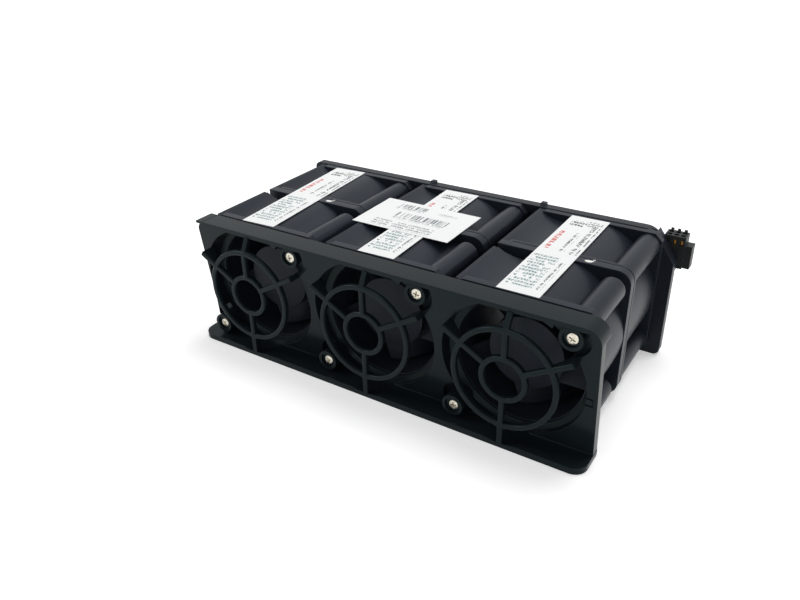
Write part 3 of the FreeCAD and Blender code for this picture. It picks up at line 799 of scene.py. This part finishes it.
@dataclass
class Screws:
    """Bezel screws, and the screws that hold the rear frame."""

    material: bpy.types.Material
    bolt: float = 16.0
    shank: float = 1.4
    rear_height: float = 1.2
    upper: float = 1.75
    lower: float = 1.6
    turns: tuple[float, ...] = (12.0, 48.0, 80.0, 27.0, 61.0, 5.0)

    def build(self) -> None:
        """Make both sets."""
        low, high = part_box("bezel_screws")
        front, tip = low.y / MM, high.y / MM
        piece = Workpiece("bezel_fasteners")
        places = [axis + Vector((x, 0, z)) for axis in fan_axes() for x, z in
                  ((self.bolt, self.bolt), (-self.bolt, -self.bolt))]
        for place, turn in zip(places, self.turns):
            head = ScrewHead(radius=self.upper if place.z > middle_of("front_bezel").z else self.lower)
            head.add(piece.mesh, Vector((place.x, front, place.z)), -1, turn)
            self.add_shank(piece.mesh, Vector((place.x, front + head.height, place.z)), tip)
        piece.finish(self.material, "screw_steel", "bezel_screws", closed=True)
        rear = Workpiece("frame_fasteners")
        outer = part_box("rear_frame")[0].y / MM
        plate = outer + 1.8 + self.rear_height
        places = [axis + Vector((x, 0, z)) for axis in fan_axes() for x, z in
                  ((-self.bolt, self.bolt), (self.bolt, -self.bolt))]
        for place, turn in zip(places, self.turns[::-1]):
            ScrewHead(radius=1.85, height=self.rear_height).add(rear.mesh, Vector((place.x, plate, place.z)), 1, turn)
        rear.finish(self.material, "screw_steel", closed=True)

    def add_shank(self, mesh: bmesh.types.BMesh, start: Vector, tip: float) -> None:
        """Add the shank under a head.

        Args:
            mesh: The mesh that takes it.
            start: Where it leaves the head.
            tip: Y of its far end.
        """
        length = tip - start.y
        along = Matrix.Translation(start + Vector((0, length / 2, 0))) @ Matrix.Rotation(math.radians(90), 4, "X")
        bmesh.ops.create_cone(mesh, cap_ends=True, segments=16, radius1=self.shank, radius2=self.shank, depth=length,
                              matrix=along)


@dataclass
class Sheet:
    """One label: a thin film on top of the fans, turned as it was stuck."""

    name: str
    node: str
    size: tuple[float, float]
    turn: float
    blocks: tuple[Block, ...]
    corner: float = 0.4
    thickness: float = 0.1
    dip: float = 0.0
    lift: float = 0.0

    def build(self) -> None:
        """Cut the film and lay it down."""
        middle = middle_of(self.node)
        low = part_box(self.node)[0].z / MM
        piece = Workpiece(self.name)
        mesh = piece.mesh
        bmesh.ops.create_grid(mesh, x_segments=24, y_segments=48, size=0.5)
        bmesh.ops.scale(mesh, vec=Vector((*self.size, 1.0)), verts=mesh.verts)
        made = bmesh.ops.solidify(mesh, geom=mesh.faces, thickness=self.thickness)
        del made
        base = min(vert.co.z for vert in mesh.verts)
        bmesh.ops.translate(mesh, vec=Vector((0, 0, -base)), verts=mesh.verts)
        bmesh.ops.transform(mesh, matrix=Matrix.Translation(Vector((middle.x, middle.y, low + 0.01)))
                            @ Matrix.Rotation(math.radians(self.turn), 4, "Z"), verts=mesh.verts)
        paper = Paper(f"{self.name} film", (middle.x, middle.y), self.turn, self.blocks)
        piece.finish(paper.material(), "label", self.node, closed=True)


def long_print(turn_shift: float = 0.0) -> tuple[Block, ...]:
    """Generic print of a fan's long label.

    Args:
        turn_shift: Moves the first block's rows along the label.

    Returns:
        The blocks.
    """
    teal = (0.10, 0.21, 0.21)
    dark = (0.03, 0.045, 0.05)
    return (
        Block(Print.LINES, (-1.6, -13.4 + turn_shift), (7.6, 20.4), 1.75, 0.9, 0.0, teal),
        Block(Print.LINES, (4.0, -14.8), (17.5, 1.3), 1.5, 1.0, 90.0, dark),
        Block(Print.LINES, (-3.4, 8.8), (15.6, 2.8), 4.2, 0.85, 90.0, (0.6, 0.07, 0.06)),
        Block(Print.LINES, (0.7, 8.0), (14.0, 1.5), 1.8, 1.0, 90.0, dark),
        Block(Print.LINES, (4.1, 10.5), (21.0, 2.4), 1.9, 0.95, 90.0, dark),
        Block(Print.LINES, (-1.9, 21.8), (4.8, 4.2), 1.9, 1.0, 0.0, dark),
        Block(Print.LINES, (3.0, 22.5), (4.4, 4.4), 1.5, 0.85, 0.0, dark),
    )


def wide_print() -> tuple[Block, ...]:
    """Generic print of the wide label."""
    grey = (0.06, 0.1, 0.11)
    return (
        Block(Print.BARS, (-5.5, 7.2), (10.2, 2.6), 0.24, 0.85, 0.0, grey),
        Block(Print.LINES, (-5.5, 5.0), (10.2, 1.3), 1.3, 0.9, 0.0, grey),
        Block(Print.BARS, (1.6, 0.5), (18.2, 3.4), 0.24, 0.85, 0.0, grey),
        Block(Print.LINES, (1.6, -2.2), (18.2, 1.4), 1.4, 0.9, 0.0, grey),
        Block(Print.LINES, (-1.0, -7.4), (21.2, 4.6), 1.5, 0.8, 0.0, grey),
        Block(Print.LINES, (7.4, 6.2), (6.8, 1.4), 1.4, 0.7, 0.0, grey),
    )


@dataclass
class Labels:
    """Long label of each fan and the wide one across the middle fan."""

    long_size: tuple[float, float] = (12.1, 54.4)
    turns: tuple[float, ...] = (3.6, 1.6, 0.5)
    wide_size: tuple[float, float] = (34.0, 21.4)

    def build(self) -> None:
        """Make the four labels."""
        for number, turn in enumerate(self.turns, 1):
            Sheet(f"fan_{number}_film", f"fan_{number}_label", self.long_size, turn, long_print()).build()
        Sheet("wide_film", "wide_label", self.wide_size, 0.0, wide_print()).build()


@dataclass
class PaintDots:
    """Dabs of white paint that seal the joint of two fans."""

    material: bpy.types.Material
    offsets: tuple[tuple[float, float], ...] = ((4.9, 0.0), (7.0, 0.0))

    def build(self) -> None:
        """Lay the dabs on the joint flanges."""
        piece = Workpiece("paint_dabs")
        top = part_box("front_fan_housings")[1]
        first, _, last = fan_axes()
        for axis, shift in ((first, self.offsets[0][0]), (last, self.offsets[1][0])):
            at = Vector((axis.x + shift, top.y / MM - 1.5, top.z / MM))
            for step, size in (((0.0, 0.0), 0.85), ((0.75, 0.35), 0.5), ((1.2, 1.3), 0.3)):
                grown = Matrix.Diagonal(Vector((size * 1.3, size * 0.8, 0.12, 1.0)))
                bmesh.ops.create_uvsphere(piece.mesh, u_segments=20, v_segments=10, radius=1.0,
                                          matrix=Matrix.Translation(at + Vector((*step, 0.0))) @ grown)
        piece.finish(self.material, "label", closed=True)


@dataclass
class InnerPieces:
    """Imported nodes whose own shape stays, with their finishes."""

    finishes: dict[str, bpy.types.Material]

    def build(self) -> None:
        """Put each finish on its node."""
        for node, material in self.finishes.items():
            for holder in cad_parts[node].material_slots:
                holder.material = material
            LOG.info("%s: finished in %s", node, material.name)


@dataclass
class Studio:
    """Floor, lamps, surroundings and camera."""

    camera_at: tuple[float, float, float] = (107.07, -182.65, 133.96)
    looking: tuple[float, float, float] = (-0.4811, 0.7281, -0.4883)
    roll: float = -1.439
    lens: float = 33.61
    floor_size: float = 6.0
    glow: tuple[float, float] = (0.37, 0.9)
    glow_reach: tuple[float, float] = (160.0, 900.0)

    def build(self) -> None:
        """Make them all."""
        self.build_floor()
        self.build_world()
        self.lamp("top softbox", (0.10, 0.25, 0.75), (0.0, 0.0, 0.0), 0.4, 3.4)
        self.lamp("left softbox", (-0.6, -0.25, 0.5), (0.0, 0.0, 0.02), 0.3, 1.7)
        self.lamp("front softbox", (0.45, -0.6, 0.35), (0.0, 0.0, 0.02), 0.3, 0.62)
        self.build_camera()

    def build_floor(self) -> None:
        """Lay a plain white floor that shows faint shadows."""
        graph = Graph("floor white")
        graph.set(Base_Color=(0.9, 0.9, 0.9, 1.0), Roughness=0.9, Specular_IOR_Level=0.1)
        path = graph.node("LightPath")
        seen = graph.math("MAXIMUM", path.outputs["Is Camera Ray"], path.outputs["Is Glossy Ray"])
        away = graph.node("VectorMath", {0: graph.place()}, operation="LENGTH").outputs["Value"]
        near, far = self.glow
        strength = graph.math("MULTIPLY", seen, graph.spread(away, near, far, *self.glow_reach))
        glow = graph.node("Emission", {"Color": (1.0, 1.0, 1.0, 1.0), "Strength": strength})
        both = graph.node("AddShader", {0: graph.shader.outputs[0], 1: glow.outputs[0]})
        graph.tree.links.new(both.outputs[0], graph.tree.nodes["Material Output"].inputs["Surface"])
        mesh = bmesh.new()
        bmesh.ops.create_grid(mesh, x_segments=1, y_segments=1, size=self.floor_size / 2)
        data = bpy.data.meshes.new("studio_floor")
        mesh.to_mesh(data)
        mesh.free()
        floor = bpy.data.objects.new("studio_floor", data)
        bpy.context.scene.collection.objects.link(floor)
        data.materials.append(graph.material)
        floor.location.z = -0.00002

    def build_world(self) -> None:
        """Surround the part with plain white that lights it softly."""
        world = bpy.data.worlds.new("studio")
        world.use_nodes = True
        tree = world.node_tree
        back = tree.nodes["Background"]
        back.inputs["Color"].default_value = (1.0, 1.0, 1.0, 1.0)
        path = tree.nodes.new("ShaderNodeLightPath")
        first, second = tree.nodes.new("ShaderNodeMath"), tree.nodes.new("ShaderNodeMath")
        first.operation = second.operation = "MAXIMUM"
        tree.links.new(path.outputs["Is Camera Ray"], first.inputs[0])
        tree.links.new(path.outputs["Is Glossy Ray"], first.inputs[1])
        tree.links.new(first.outputs[0], second.inputs[0])
        tree.links.new(path.outputs["Is Transmission Ray"], second.inputs[1])
        level = tree.nodes.new("ShaderNodeMapRange")
        level.inputs["To Min"].default_value = 0.35
        level.inputs["To Max"].default_value = 1.0
        tree.links.new(second.outputs[0], level.inputs["Value"])
        tree.links.new(level.outputs[0], back.inputs["Strength"])
        bpy.context.scene.world = world

    def lamp(self, name: str, at: Colour, towards: Colour, size: float, energy: float) -> None:
        """Hang one soft lamp.

        Args:
            name: The lamp's name.
            at: Its place in metres.
            towards: What it points at, in metres.
            size: Side of its square face in metres.
            energy: Its power in watts.
        """
        data = bpy.data.lights.new(name, "AREA")
        data.size, data.energy = size, energy
        lamp = bpy.data.objects.new(name, data)
        lamp.location = at
        lamp.rotation_euler = (Vector(towards) - Vector(at)).to_track_quat("-Z", "Y").to_euler()
        bpy.context.scene.collection.objects.link(lamp)

    def build_camera(self) -> None:
        """Stand the camera at the front right, above the module."""
        data = bpy.data.cameras.new("camera")
        data.lens, data.clip_start = self.lens, 0.001
        camera = bpy.data.objects.new("camera", data)
        camera.location = Vector(self.camera_at) * MM
        level = Vector(self.looking).to_track_quat("-Z", "Y")
        camera.rotation_euler = (level.to_matrix() @ Matrix.Rotation(math.radians(self.roll), 3, "Z")).to_euler()
        bpy.context.scene.collection.objects.link(camera)
        bpy.context.scene.camera = camera


def main() -> None:
    """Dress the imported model, sub-assembly by sub-assembly, and set the scene."""
    logging.basicConfig(level=logging.INFO, format="%(name)s %(message)s")
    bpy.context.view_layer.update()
    bezel = Plastic("bezel gloss black", (0.0085, 0.0125, 0.015), (0.0105, 0.015, 0.018), 0.17, 0.1,
                    depth=0.0015, dust=0.1, tint=(0.74, 1.0, 0.97)).material()
    shell = Plastic("frame satin black", (0.008, 0.010, 0.015), (0.011, 0.013, 0.019), 0.34, 0.17).material()
    fans = Plastic("fan satin black", (0.010, 0.013, 0.019), (0.014, 0.018, 0.025), 0.3, 0.18,
                   tint=(0.74, 0.86, 1.0)).material()
    blades = Plastic("rotor black", (0.012, 0.014, 0.020), (0.015, 0.018, 0.026), 0.28, 0.15).material()
    plug = Plastic("connector black", (0.012, 0.012, 0.013), (0.02, 0.019, 0.018), 0.4).material()
    paint = Plastic("seal paint", (0.85, 0.85, 0.83), (0.8, 0.8, 0.78), 0.4, dust=0.0).material()
    nickel = Metal("nickelled steel", (0.72, 0.69, 0.6), (0.6, 0.56, 0.46), 0.28).material()
    FrontBezel(bezel).build()
    RearFrame(shell).build()
    for side in ("front", "rear"):
        FanHousings(side, fans).build()
        for number in (1, 2, 3):
            Rotor(number, side, blades).build()
    Connector(plug).build()
    Screws(nickel).build()
    Labels().build()
    PaintDots(paint).build()
    spindle = Metal("ground shaft steel", (0.6, 0.6, 0.6), (0.5, 0.5, 0.5), 0.2).material()
    inner = {"stator_cores": Laminations("core laminations").material(),
             "stator_coils": Winding("copper winding").material(),
             "circuit_boards": Board("board mask").material(),
             "motor_bearings": Metal("sintered bronze", (0.55, 0.36, 0.16), (0.4, 0.25, 0.12), 0.45).material(),
             "connector_contacts": Metal("gilt contact", (0.95, 0.5, 0.12), (0.8, 0.38, 0.08), 0.25).material()}
    inner |= {f"fan_{number}_{side}_shaft": spindle for number in (1, 2, 3) for side in ("front", "rear")}
    InnerPieces(inner).build()
    Studio().build()
    scene = bpy.context.scene
    scene.view_settings.view_transform = "Standard"


if __name__ == "__main__":
    main()
